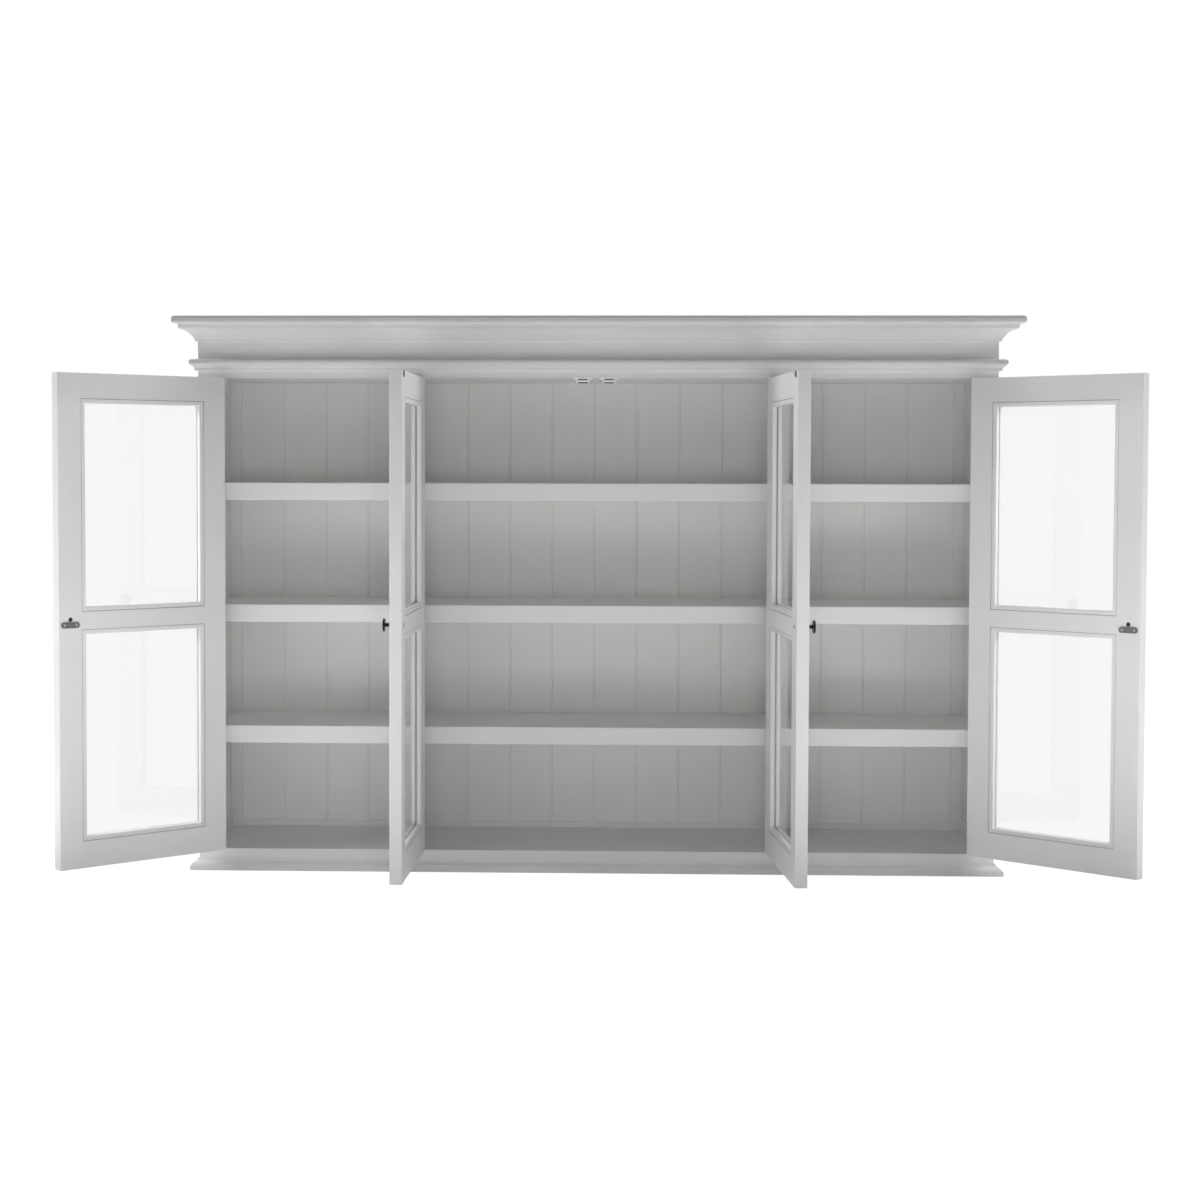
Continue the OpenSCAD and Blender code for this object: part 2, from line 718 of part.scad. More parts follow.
module base_moulding() color(paint) moulding(base_proj, 0) {
    step_x = base_proj - base_step;
    round_x = step_x - base_round_r;
    round_top = base_foot_h + base_round_r;
    slope_low = [round_x - base_quirk, round_top + base_quirk];
    slope_high = [base_edge, base_h];
    square([base_proj, base_foot_h]);
    translate([round_x, base_foot_h]) intersection() {
        circle(base_round_r);
        square(base_round_r);
    }
    square([round_x, round_top]);
    difference() {
        polygon([[0, 0], [slope_low[0], 0], slope_low, slope_high, [0, base_h]]);
        hollow(slope_low, slope_high, base_sag);
    }
}

// Magnetic catches

// Two screws up through the ears of the left catch under the inner top
module at_ear_screws() for (end = [-1, 1])
    translate([-catch_x + end * (catch_w / 2 + (catch_ears - catch_w) / 4),
               catch_y + catch_d / 2, opening_z - ear_t])
        rotate([180, 0, 0]) children();

module shelf_catch_space(gap)
    block([-shelf_catch_x - shelf_catch_l / 2 - gap, catch_y - gap, strike_z - shelf_catch_h / 2 - gap],
          [-shelf_catch_x + shelf_catch_l / 2 + gap, catch_y + shelf_catch_d + gap,
           strike_z + shelf_catch_h / 2 + gap]);

// The upper of the two pole plates on a magnet of width w, its front face at y = 0
module pole_plate(w)
    block([-w / 2, 0, magnet_t / 2], [w / 2, pole_proud + pole_d, magnet_t / 2 + pole_t]);

// A magnet of width w that keeps the given gap to its two pole plates
module magnet(w, gap)
    block([-w / 2, pole_proud + magnet_set, -magnet_t / 2 + gap],
          [w / 2, pole_proud + pole_d, magnet_t / 2 - gap]);

module magnet_stack(w, gap) {
    magnet(w, gap);
    for (side = [0, 1]) mirror([0, 0, side]) pole_plate(w);
}

// The magnets and pole plates of the two left catches
module magnets(gap) {
    translate([-catch_x, pole_y, disc_z + catch_rise]) magnet_stack(pole_w, gap);
    translate([-shelf_catch_x, pole_y, strike_z]) magnet_stack(shelf_pole_w, gap);
}

module catch_bodies() color(white_plastic) both_sides() difference() {
    union() {
        block([-catch_x - catch_w / 2, catch_y, opening_z - catch_h],
              [-catch_x + catch_w / 2, catch_y + catch_d, opening_z]);
        block([-catch_x - catch_ears / 2, catch_y + (catch_d - ear_d) / 2, opening_z - ear_t],
              [-catch_x + catch_ears / 2, catch_y + (catch_d + ear_d) / 2, opening_z]);
        shelf_catch_space(0);
    }
    at_ear_screws() screw_hole(ear_screw_l);
    magnets(0);
}

module catch_magnets() color(dark_iron) both_sides() magnets(joint_gap);

// Hinge parts that stay on the carcass

module at_all_pins() both_sides() for (pin_x = [pin_outer, pin_inner]) at_hinges(pin_x) children();

module frame_hinge_leaves() color(steel) at_all_pins() mirror([1, 0, 0]) hinge_leaf(end_knuckles);

module hinge_pins() color(steel) at_all_pins() {
    cylinder(r = pin_r, h = hinge_h, center = true);
    for (side = [0, 1]) mirror([0, 0, side]) translate([0, 0, hinge_h / 2])
        cylinder(r = pin_head_r, h = pin_head_h);
}

module frame_screws() color(steel) {
    at_all_pins() mirror([1, 0, 0]) at_leaf_screws() screw(hinge_screw_l);
    both_sides() at_ear_screws() screw(ear_screw_l);
}

// Doors, each drawn closed and hinged on its left

// A strip along +X with both ends mitred. Its profile has x from the outer face inwards and y
// from the frame member towards the middle of the pane.
module mitred_strip(l) intersection() {
    rotate([90, 0, 90]) linear_extrude(l) children();
    reach = lip_w + over;
    translate([0, door_t + over, 0]) rotate([90, 0, 0]) linear_extrude(door_t + 2 * over) polygon([
        [joint_gap, -over], [joint_gap, 0], [joint_gap + reach, reach],
        [l - joint_gap - reach, reach], [l - joint_gap, 0], [l - joint_gap, -over]]);
}

// The four sides of a pane whose lower left corner is at height z
module pane_bottom(z) translate([pane_x0, 0, z]) mitred_strip(pane_w) children();
module pane_top(z) translate([pane_x0, 0, z + pane_h]) mirror([0, 0, 1]) mitred_strip(pane_w) children();
module pane_right(z) translate([pane_x1, 0, z]) rotate([0, -90, 0]) mitred_strip(pane_h) children();
module pane_left(z) translate([pane_x0, 0, z]) mirror([1, 0, 0]) rotate([0, -90, 0])
    mitred_strip(pane_h) children();

// The lip in front of the glass, with a root inside its frame member
module lip_profile() {
    translate([0, -over]) square([lip_t, over + lip_w - lip_r]);
    translate([lip_r, -over]) square([lip_t - lip_r, over + lip_w]);
    translate([lip_r, lip_w - lip_r]) intersection() {
        circle(lip_r);
        translate([-lip_r, 0]) square(lip_r);
    }
}

// A square bead with one rounded edge towards the pane and a quirk beside its frame member
module bead_profile() {
    round_y = bead_y1 - bead_arris;
    round_w = lip_w - bead_arris;
    polygon([
        [bead_y0, 0], [bead_y0, lip_w], [round_y, lip_w], [round_y, round_w], [bead_y1, round_w],
        [bead_y1, glazing_quirk_w], [bead_y1 - glazing_quirk_d, glazing_quirk_w],
        [bead_y1 - glazing_quirk_d, 0]]);
    translate([round_y, round_w]) circle(bead_arris, $fn = 32);
}

// A door rail from z0 to z1 with a tenon at each end, grown by the given clearance
module rail_tenons(z0, z1, gap)
    block([pane_x0 - tenon_l - gap, tenon_y - gap, z0 + tenon_shoulder - gap],
          [pane_x1 + tenon_l + gap, tenon_y + tenon_t + gap, z1 - tenon_shoulder + gap]);

module door_rail(z0, z1) {
    block([pane_x0 + joint_gap, 0, z0], [pane_x1 - joint_gap, door_t, z1]);
    rail_tenons(z0, z1, 0);
}

rail_spans = [[door_z0, low_pane_z], [low_pane_z + pane_h, high_pane_z], [high_pane_z + pane_h, door_z1]];

module hinge_stile() difference() {
    union() {
        soft_upright([door_x0, 0, door_z0], [pane_x0, door_t, door_z1], [[0, 0], [0, 1]]);
        for (z = [low_pane_z, high_pane_z]) pane_left(z) lip_profile();
    }
    for (span = rail_spans) rail_tenons(span[0], span[1], joint_gap);
    at_door_hinges() hinge_seat();
}

module free_stile() difference() {
    union() {
        soft_upright([pane_x1, 0, door_z0], [door_x1, door_t, door_z1], [[1, 0], [1, 1]]);
        for (z = [low_pane_z, high_pane_z]) pane_right(z) lip_profile();
    }
    for (span = rail_spans) rail_tenons(span[0], span[1], joint_gap);
    translate([knob_x, -over, knob_z]) rotate([-90, 0, 0])
        cylinder(d = knob_bolt_d + 2 * screw_clear, h = door_t + 2 * over, $fn = 32);
}

module door_rails() {
    door_rail(door_z0, low_pane_z);
    pane_bottom(low_pane_z) lip_profile();
    door_rail(low_pane_z + pane_h, high_pane_z);
    pane_top(low_pane_z) lip_profile();
    pane_bottom(high_pane_z) lip_profile();
    door_rail(high_pane_z + pane_h, door_z1);
    pane_top(high_pane_z) lip_profile();
}

module at_door_hinges() for (z = hinge_zs) translate([0, -pin_out, z]) children();

module outer_door_frame() color(paint) {
    hinge_stile();
    door_rails();
    difference() {
        free_stile();
        at_long_strike_screws() screw_hole(strike_screw_l);
    }
}

module inner_door_frame() color(paint) {
    hinge_stile();
    door_rails();
    difference() {
        free_stile();
        at_disc_screw() screw_hole(strike_screw_l);
    }
}

module door_glass() color(pane_glass) for (z = [low_pane_z, high_pane_z])
    block([pane_x0 + glass_gap, lip_t, z + glass_gap],
          [pane_x1 - glass_gap, lip_t + glass_t, z + pane_h - glass_gap]);

module door_beads() color(paint) for (z = [low_pane_z, high_pane_z]) {
    pane_bottom(z) bead_profile();
    pane_top(z) bead_profile();
    pane_left(z) bead_profile();
    pane_right(z) bead_profile();
}

// A round flat head with a slightly domed face on a straight neck
module door_knob() color(bronze) translate([knob_x, 0, knob_z]) rotate([90, 0, 0]) difference() {
    rim_z = knob_out - knob_dome;
    head_z = knob_out - knob_t;
    dome_r = arc_radius([-knob_d / 2, 0], [knob_d / 2, 0], knob_dome);
    union() {
        cylinder(d = knob_neck_d, h = rim_z);
        cylinder(d = knob_collar_d, h = knob_collar_h);
        translate([0, 0, head_z]) cylinder(d1 = knob_d - 2 * knob_bevel, d2 = knob_d, h = knob_bevel);
        translate([0, 0, head_z + knob_bevel]) cylinder(d = knob_d, h = rim_z - head_z - knob_bevel);
        intersection() {
            translate([0, 0, knob_out - dome_r]) sphere(dome_r, $fn = 96);
            translate([0, 0, rim_z]) cylinder(d = knob_d, h = knob_dome + over);
        }
    }
    translate([0, 0, -over])
        cylinder(d = knob_bolt_d + 2 * screw_clear, h = over + knob_thread_l + screw_clear, $fn = 32);
}

// A flat plate with round ends and a screw hole near each end
module long_strike() color(steel) difference() {
    translate([strike_x, door_t + strike_t, strike_z]) rotate([90, 0, 0]) linear_extrude(strike_t) {
        square([strike_l - strike_h, strike_h], center = true);
        for (end = [-1, 1]) translate([end * (strike_l - strike_h) / 2, 0]) circle(d = strike_h);
    }
    at_long_strike_screws() screw_hole(strike_screw_l);
}

module round_strike() color(steel) difference() {
    translate([disc_x, door_t + strike_t, disc_z]) rotate([90, 0, 0]) cylinder(d = disc_d, h = strike_t);
    at_disc_screw() screw_hole(strike_screw_l);
}

module at_long_strike_screws() for (end = [-1, 1])
    translate([strike_x + end * strike_pitch / 2, door_t + strike_t, strike_z])
        rotate([-90, 0, 0]) children();

module at_disc_screw() translate([disc_x, door_t + strike_t, disc_z]) rotate([-90, 0, 0]) children();

module door_hinge_leaves() color(steel) at_door_hinges() hinge_leaf(middle_knuckle);

// The bolt that holds a knob, its domed head on the inner face of the door
module knob_bolt() translate([knob_x, door_t, knob_z]) rotate([-90, 0, 0]) {
    head_r = arc_radius([-knob_bolt_head_d / 2, 0], [knob_bolt_head_d / 2, 0], knob_bolt_head_h);
    translate([0, 0, -door_t - knob_thread_l])
        cylinder(d = knob_bolt_d, h = door_t + knob_thread_l, $fn = 32);
    difference() {
        intersection() {
            translate([0, 0, knob_bolt_head_h - head_r]) sphere(head_r);
            cylinder(d = knob_bolt_head_d, h = knob_bolt_head_h + over);
        }
        block([-knob_bolt_head_d, -knob_bolt_slot_w / 2, knob_bolt_head_h / 2],
              [knob_bolt_head_d, knob_bolt_slot_w / 2, knob_bolt_head_h + over]);
    }
}

module outer_door_screws() color(copper) {
    at_door_hinges() at_leaf_screws() screw(hinge_screw_l);
    at_long_strike_screws() screw(strike_screw_l);
    knob_bolt();
}

module inner_door_screws() color(copper) {
    at_door_hinges() at_leaf_screws() screw(hinge_screw_l);
    at_disc_screw() screw(strike_screw_l);
    knob_bolt();
}

// Hangs a closed left-hand door on its pin and swings it open
module hang(pin_x, angle) translate([-pin_x, front - pin_out, 0]) rotate([0, 0, -angle])
    translate([0, pin_out, 0]) children();

module left_outer() hang(pin_outer, outer_open_angle) children();
module left_inner() hang(pin_inner, left_inner_open_angle) children();
module right_inner() mirror([1, 0, 0]) hang(pin_inner, right_inner_open_angle) children();
module right_outer() mirror([1, 0, 0]) hang(pin_outer, outer_open_angle) children();

front_post_left();
front_post_right();
rear_post_left();
rear_post_right();
side_panel_left();
side_panel_right();
side_rails();
partition_left();
partition_right();
frieze_rail();
bottom_rail();
inner_top();
bottom_board();
back_rails();
base_bearers();
back_boards_left();
back_boards_centre();
back_boards_right();
back_battens();
lower_shelves();
middle_shelves();
upper_shelves();
shelf_cleats();
crown_top();
crown_cove();
crown_bead();
base_moulding();
catch_bodies();
catch_magnets();
frame_hinge_leaves();
hinge_pins();
frame_screws();
left_outer() outer_door_frame();  // left_outer_frame
left_outer() door_glass();  // left_outer_glass
left_outer() door_beads();  // left_outer_beads
left_outer() door_knob();  // left_outer_knob
left_outer() long_strike();  // left_outer_strike
left_outer() door_hinge_leaves();  // left_outer_hinge_leaves
left_outer() outer_door_screws();  // left_outer_screws
left_inner() inner_door_frame();  // left_inner_frame
left_inner() door_glass();  // left_inner_glass
left_inner() door_beads();  // left_inner_beads
left_inner() door_knob();  // left_inner_knob
left_inner() round_strike();  // left_inner_strike
left_inner() door_hinge_leaves();  // left_inner_hinge_leaves
left_inner() inner_door_screws();  // left_inner_screws
right_inner() inner_door_frame();  // right_inner_frame
right_inner() door_glass();  // right_inner_glass
right_inner() door_beads();  // right_inner_beads
right_inner() door_knob();  // right_inner_knob
right_inner() round_strike();  // right_inner_strike
right_inner() door_hinge_leaves();  // right_inner_hinge_leaves
right_inner() inner_door_screws();  // right_inner_screws
right_outer() outer_door_frame();  // right_outer_frame
right_outer() door_glass();  // right_outer_glass
right_outer() door_beads();  // right_outer_beads
right_outer() door_knob();  // right_outer_knob
right_outer() long_strike();  // right_outer_strike
right_outer() door_hinge_leaves();  // right_outer_hinge_leaves
right_outer() outer_door_screws();  // right_outer_screws
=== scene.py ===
import json
import math

import bpy
from mathutils import Matrix, Vector


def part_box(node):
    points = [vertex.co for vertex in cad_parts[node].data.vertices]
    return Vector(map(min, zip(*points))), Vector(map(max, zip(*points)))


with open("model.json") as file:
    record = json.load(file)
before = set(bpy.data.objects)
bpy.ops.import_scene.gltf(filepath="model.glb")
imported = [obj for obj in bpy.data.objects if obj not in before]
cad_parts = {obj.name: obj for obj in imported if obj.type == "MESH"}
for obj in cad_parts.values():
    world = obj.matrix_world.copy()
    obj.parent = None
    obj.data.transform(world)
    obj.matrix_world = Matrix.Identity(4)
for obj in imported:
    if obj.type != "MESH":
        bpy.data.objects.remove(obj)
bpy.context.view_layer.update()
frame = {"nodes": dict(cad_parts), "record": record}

bl_info = {
    "name": "Painted Buffet Hutch",
    "version": (1, 0, 0),
    "blender": (4, 5, 0),
    "location": "3D View > Sidebar > Hutch",
    "description": "Paints, glazes and lights a low glazed hutch with four open doors",
    "category": "Object",
}

PHOTO_PX = 1200

DOORS = ("left_outer", "left_inner", "right_inner", "right_outer")
HINGES = {joint["child"].removesuffix("_door"): joint
          for joint in frame["record"]["behaviour"]["joints"]}
PIN_Z = HINGES["left_outer"]["pos_m"][2]
# From a hinge pin to the edge of its door, and inwards to the back of the glass
HINGE_GAP = 0.001
GLASS_BACK = 0.0175
# Between the two panes of a door
PANE_GAP = 0.0365
# A knob's bolt lies within this height and this reach of the middle of its knob
BOLT_RISE = 0.006
BOLT_REACH = 0.05

UPRIGHTS = (
    "front_post_left", "front_post_right", "rear_post_left", "rear_post_right",
    "side_panel_left", "side_panel_right", "partition_left", "partition_right",
)
LEVEL_BOARDS = (
    "frieze_rail", "bottom_rail", "inner_top", "bottom_board", "back_rails", "back_battens",
    "crown_top",
)
SHELVES = ("lower_shelves", "middle_shelves", "upper_shelves")
MOULDINGS = ("crown_cove", "crown_bead", "base_moulding")
FRONT_TO_BACK = ("side_rails", "base_bearers", "shelf_cleats")
BACK_BOARDS = ("back_boards_left", "back_boards_centre", "back_boards_right")

# Range that most of a noise falls in
NOISE_LOW, NOISE_HIGH = 0.3, 0.7
# Scales of the noises, in spots per metre
CLOUDS = 4.0
RUBBED_SPOTS = 11.0
SPECKLE = 900.0
METAL_STAINS = 350.0
PLASTIC_GRAIN = 1200.0
# Length of a brush stroke, counted in its widths
STROKE_LENGTH = 40.0
# Share of the long brush strokes in the paint's tone, the rest being broad clouds
STROKE_SHARE = 0.3
# How much each colour channel takes of the wear, so that rubbed paint is a little warmer
WEAR_TINT = (0.8, 1.0, 1.6)
# Shares of the paint's colour for the painted shade in a glazing bead's quirk and seam, where darkest
# and where lightest
SEAM_SHADE = (0.35, 0.45)

# Soft boxes that face the hutch: name, middle, size and the setting that holds their power
SOFT_BOXES = (
    ("left_softbox", (-2.8, 0.6, 1.3), (1.2, 1.2), "side_lamp"),
    ("high_left_softbox", (-2.8, 0.4, 2.5), (1.2, 1.2), "high_lamp"),
    ("right_softbox", (2.8, 0.6, 1.3), (1.2, 1.2), "side_lamp"),
    ("high_right_softbox", (2.8, 0.4, 2.5), (1.2, 1.2), "high_lamp"),
    ("front_softbox", (0.0, -5.5, 0.4), (1.2, 1.2), "front_lamp"),
    ("back_softbox", (0.0, 4.0, 1.2), (2.5, 1.5), "back_lamp"),
)
# The point that they face
LAMP_AIM = (0.0, 0.0, 0.6)
LAMP_COLOUR = (0.985, 0.993, 1.0)
# Soft lights on the floor that shine up: name, middle, size and watts
FLOOR_LIGHTS = (
    ("floor_wide", (0.0, -2.8), (8.0, 4.4), 7.0),
    ("floor_left", (-2.6, -1.7), (2.8, 2.6), 24.0),
    ("floor_right", (2.6, -1.7), (2.8, 2.6), 19.5),
    ("floor_near_left", (-0.8, -1.1), (0.8, 0.3), 2.0),
    ("floor_near_right", (0.8, -1.2), (0.8, 0.5), 4.4),
    ("floor_far_left", (-1.8, -1.1), (1.2, 0.3), 3.4),
)
FLOOR_LIGHT_Z = 0.003
# A low strip in front of the left doors: middle, size, watts, and its turn away from straight down
KICKER = ((-0.8, -1.45, 0.06), (0.8, 0.12), 0.85, 110.0)

FLOOR_REACH = 12.0
FLOOR_COLOUR = (0.85, 0.85, 0.85, 1.0)
# Share of plain white glow in what the camera sees of the floor, and how far it goes beyond white
# to make up for the share that is lit and shaded
FLOOR_GLOW = 0.85
FLOOR_LIFT = 0.17


class HutchPaint(bpy.types.PropertyGroup):
    colour: bpy.props.FloatVectorProperty(
        name="Paint", description="Colour of the painted wood", subtype="COLOR", size=3,
        default=(0.93, 0.925, 0.912), min=0.0, max=1.0)
    roughness: bpy.props.FloatProperty(
        name="Roughness", description="Mean roughness of the satin paint",
        default=0.42, min=0.0, max=1.0, subtype="FACTOR")
    gloss: bpy.props.FloatProperty(
        name="Gloss", description="Strength of the paint's reflections, 0.5 for a usual satin paint",
        default=0.35, min=0.0, max=1.0, subtype="FACTOR")
    stroke_width: bpy.props.FloatProperty(
        name="Brush stroke", description="Width of one brush stroke in the paint",
        default=0.003, min=0.001, max=0.02, unit="LENGTH")
    stroke_depth: bpy.props.FloatProperty(
        name="Stroke depth", description="Height of the ridges that the brush leaves",
        default=0.00006, min=0.0, max=0.001, unit="LENGTH")
    mottle: bpy.props.FloatProperty(
        name="Mottle", description="How much the colour varies over a board",
        default=0.03, min=0.0, max=0.2, subtype="FACTOR")
    wear: bpy.props.FloatProperty(
        name="Wear", description="How much darker the paint is where it has been rubbed",
        default=0.012, min=0.0, max=0.2, subtype="FACTOR")
    door_width: bpy.props.FloatProperty(
        name="Door width", description="Width of a door",
        default=0.3905, min=0.3, max=0.5, unit="LENGTH")
    stile: bpy.props.FloatProperty(
        name="Stile", description="Width of a door's stiles, where the brush runs upright",
        default=0.0515, min=0.03, max=0.08, unit="LENGTH")
    bead_width: bpy.props.FloatProperty(
        name="Glazing bead", description="Width of the beads that hold the glass",
        default=0.01, min=0.005, max=0.02, unit="LENGTH")
    # Painted shade: the two settings below mark the quirk and the seam of a glazing bead, which are
    # darkened to stand for their shadow
    quirk_width: bpy.props.FloatProperty(
        name="Quirk", description="Width of the dark line between a glazing bead and its frame",
        default=0.00115, min=0.0, max=0.003, unit="LENGTH")
    shaded_seam_depth: bpy.props.FloatProperty(
        name="Seam", description="Height of the dark seam on a glazing bead beside the glass",
        default=0.002, min=0.0, max=0.01, unit="LENGTH")


class HutchGlass(bpy.types.PropertyGroup):
    tint: bpy.props.FloatVectorProperty(
        name="Glass", description="Tint of the panes", subtype="COLOR", size=3,
        default=(0.93, 0.93, 0.93), min=0.0, max=1.0)


class HutchMetal(bpy.types.PropertyGroup):
    bronze: bpy.props.FloatVectorProperty(
        name="Bronze", description="Colour of the knobs", subtype="COLOR", size=3,
        default=(0.032, 0.026, 0.022), min=0.0, max=1.0)
    bolt: bpy.props.FloatVectorProperty(
        name="Bolts", description="Colour of the bolts that hold the knobs", subtype="COLOR", size=3,
        default=(0.055, 0.032, 0.023), min=0.0, max=1.0)
    painted_bolt: bpy.props.FloatVectorProperty(
        name="Painted bolts", description="Colour of the bolts on the inner doors, half hidden by paint",
        subtype="COLOR", size=3, default=(0.56, 0.45, 0.40), min=0.0, max=1.0)
    steel: bpy.props.FloatVectorProperty(
        name="Steel", description="Colour of the hinges and screws", subtype="COLOR", size=3,
        default=(0.42, 0.42, 0.43), min=0.0, max=1.0)
    strike: bpy.props.FloatVectorProperty(
        name="Strike plates", description="Colour of the dull strike plates", subtype="COLOR", size=3,
        default=(0.215, 0.22, 0.225), min=0.0, max=1.0)
    poles: bpy.props.FloatVectorProperty(
        name="Poles", description="Colour of the iron poles in the catches", subtype="COLOR", size=3,
        default=(0.02, 0.02, 0.022), min=0.0, max=1.0)
    plastic: bpy.props.FloatVectorProperty(
        name="Catches", description="Colour of the plastic catches", subtype="COLOR", size=3,
        default=(0.93, 0.93, 0.92), min=0.0, max=1.0)


class HutchStage(bpy.types.PropertyGroup):
    camera_place: bpy.props.FloatVectorProperty(
        name="Camera", description="Place of the camera", size=3, subtype="TRANSLATION",
        default=(-0.0004, -4.6491, 0.8624), unit="LENGTH")
    camera_turn: bpy.props.FloatProperty(
        name="Turn", description="How far the camera is turned to the left",
        default=math.radians(1.83), subtype="ANGLE")
    camera_dip: bpy.props.FloatProperty(
        name="Dip", description="How far the camera looks down",
        default=math.radians(2.234), subtype="ANGLE")
    camera_roll: bpy.props.FloatProperty(
        name="Roll", description="How far the camera leans", default=math.radians(0.126),
        subtype="ANGLE")
    focal_px: bpy.props.FloatProperty(
        name="Focal length", description="Focal length in pixels of the photograph",
        default=2103.8, min=500.0)
    centre_px: bpy.props.FloatVectorProperty(
        name="Optical centre", size=2, default=(-72.0, -48.0),
        description="Pixels from the middle of the photograph to its optical centre")
    ambient: bpy.props.FloatProperty(
        name="Ambient", description="Level of the light from all round", default=0.03, min=0.0)
    side_lamp: bpy.props.FloatProperty(
        name="Side lamps", description="Power of the soft box on either side", default=2.0,
        min=0.0, unit="POWER")
    high_lamp: bpy.props.FloatProperty(
        name="High lamps", description="Power of the high soft box on either side", default=50.0,
        min=0.0, unit="POWER")
    front_lamp: bpy.props.FloatProperty(
        name="Front lamp", description="Power of the soft box under the camera", default=30.0,
        min=0.0, unit="POWER")
    back_lamp: bpy.props.FloatProperty(
        name="Back lamp", description="Power of the soft box behind the hutch", default=45.0,
        min=0.0, unit="POWER")
    floor_light: bpy.props.FloatProperty(
        name="Floor light", description="How strongly the floor throws light up in front of the hutch",
        default=1.3, min=0.0)


def new_material(name):
    material = bpy.data.materials.new(name)
    material.use_nodes = True
    return material, material.node_tree, material.node_tree.nodes["Principled BSDF"]


def add(tree, kind, **values):
    """A node with its inputs set by name, or its settings where no input has that name."""
    node = tree.nodes.new(kind)
    for name, value in values.items():
        label = name.replace("_", " ")
        if label in node.inputs:
            node.inputs[label].default_value = value
        else:
            setattr(node, name, value)
    return node


def wire(tree, node, *values):
    """Feeds a node's first inputs with numbers or with other nodes' outputs."""
    for socket, value in zip(node.inputs, values):
        if isinstance(value, bpy.types.NodeSocket):
            tree.links.new(value, socket)
        else:
            socket.default_value = value
    return node.outputs[0]


def math_node(tree, operation, *values):
    return wire(tree, add(tree, "ShaderNodeMath", operation=operation), *values)


def vector_node(tree, operation, *values):
    return wire(tree, add(tree, "ShaderNodeVectorMath", operation=operation), *values)


def noise(tree, place, scale, detail=2.0, rough=0.5):
    node = add(tree, "ShaderNodeTexNoise", Scale=scale, Detail=detail, Roughness=rough)
    tree.links.new(place, node.inputs["Vector"])
    return node.outputs["Fac"]


def spread(tree, value, low, high):
    """Stretches a noise's usual range over low to high."""
    return wire(tree, add(tree, "ShaderNodeMapRange"), value, NOISE_LOW, NOISE_HIGH, low, high)


def two_tones(tree, value, dark, light):
    ramp = add(tree, "ShaderNodeValToRGB")
    tree.links.new(value, ramp.inputs["Fac"])
    first, last = ramp.color_ramp.elements
    first.position, last.position = NOISE_LOW, NOISE_HIGH
    first.color = (*dark, 1.0)
    last.color = (*light, 1.0)
    return ramp.outputs["Color"]


def choose(tree, factor, first, second):
    """The first colour where factor is 0, the second where it is 1."""
    mix = add(tree, "ShaderNodeMix", data_type="RGBA")
    tree.links.new(factor, mix.inputs[0])
    tree.links.new(first, mix.inputs[6])
    tree.links.new(second, mix.inputs[7])
    return mix.outputs[2]


def object_place(tree):
    return add(tree, "ShaderNodeTexCoord").outputs["Object"]


def closed_place(tree, door):
    """Places on a door as if it were shut, measured from its hinge pin."""
    hinge = HINGES[door]
    shut = max(hinge["range_deg"], key=abs)
    turn = add(tree, "ShaderNodeMapping", vector_type="TEXTURE")
    turn.inputs["Location"].default_value = hinge["pos_m"]
    turn.inputs["Rotation"].default_value = (0.0, 0.0, -math.radians(shut))
    tree.links.new(object_place(tree), turn.inputs["Vector"])
    return turn.outputs["Vector"]


def along(grain, fine):
    """Scale of a texture that is fine across the grain and drawn out along it."""
    return tuple(fine / STROKE_LENGTH if axis == grain else fine for axis in "XYZ")


def shaded(colour, share):
    """A colour as it is at this share of its brightness."""
    return [channel * share for channel in colour]


def brushed_paint(tree, shader, place, grain, other=None, chosen=None, seam=None):
    """Satin paint brushed along grain, or along the other axis where chosen is 1, with painted shade in
    a seam.
    """
    paint = bpy.context.scene.hutch_paint
    fine = 1.0 / paint.stroke_width
    stretch = along(grain, fine)
    if other:
        change = [b - a for a, b in zip(stretch, along(other, fine))]
        stretch = vector_node(tree, "ADD", vector_node(tree, "MULTIPLY", change, chosen), stretch)
    strokes = noise(tree, vector_node(tree, "MULTIPLY", place, stretch), 1.0, 3.0, 0.6)
    clouds = noise(tree, place, CLOUDS)
    speckle = noise(tree, place, SPECKLE, 1.0)
    rubbed = wire(tree, add(tree, "ShaderNodeMapRange"), noise(tree, place, RUBBED_SPOTS, 5.0, 0.6),
                  0.58, 0.72, 0.0, 1.0)

    tone = math_node(tree, "MULTIPLY_ADD", clouds, 1.0 - STROKE_SHARE,
                     math_node(tree, "MULTIPLY", strokes, STROKE_SHARE))
    worn = [c * (1.0 - paint.wear * share) for c, share in zip(paint.colour, WEAR_TINT)]
    fresh = two_tones(tree, tone, shaded(paint.colour, 1.0 - paint.mottle), paint.colour)
    handled = two_tones(tree, tone, shaded(worn, 1.0 - paint.mottle), worn)
    colour = choose(tree, rubbed, fresh, handled)
    # Painted shade: where the seam mask is 1 the paint is darkened to stand for the shadow in a bead's
    # quirk and seam
    if seam:
        seam_shade = two_tones(tree, clouds, *(shaded(paint.colour, share) for share in SEAM_SHADE))
        colour = choose(tree, seam, colour, seam_shade)
    tree.links.new(colour, shader.inputs["Base Color"])

    rough = spread(tree, strokes, paint.roughness - 0.05, paint.roughness + 0.05)
    rough = math_node(tree, "MULTIPLY_ADD", rubbed, -0.06, rough)
    tree.links.new(rough, shader.inputs["Roughness"])

    relief = math_node(tree, "MULTIPLY_ADD", speckle, 0.3, strokes)
    bump = add(tree, "ShaderNodeBump", Strength=1.0, Distance=paint.stroke_depth)
    tree.links.new(relief, bump.inputs["Height"])
    tree.links.new(bump.outputs["Normal"], shader.inputs["Normal"])
    shader.inputs["Specular IOR Level"].default_value = paint.gloss


def painted_wood(name, grain):
    material, tree, shader = new_material(name)
    brushed_paint(tree, shader, object_place(tree), grain)
    return material


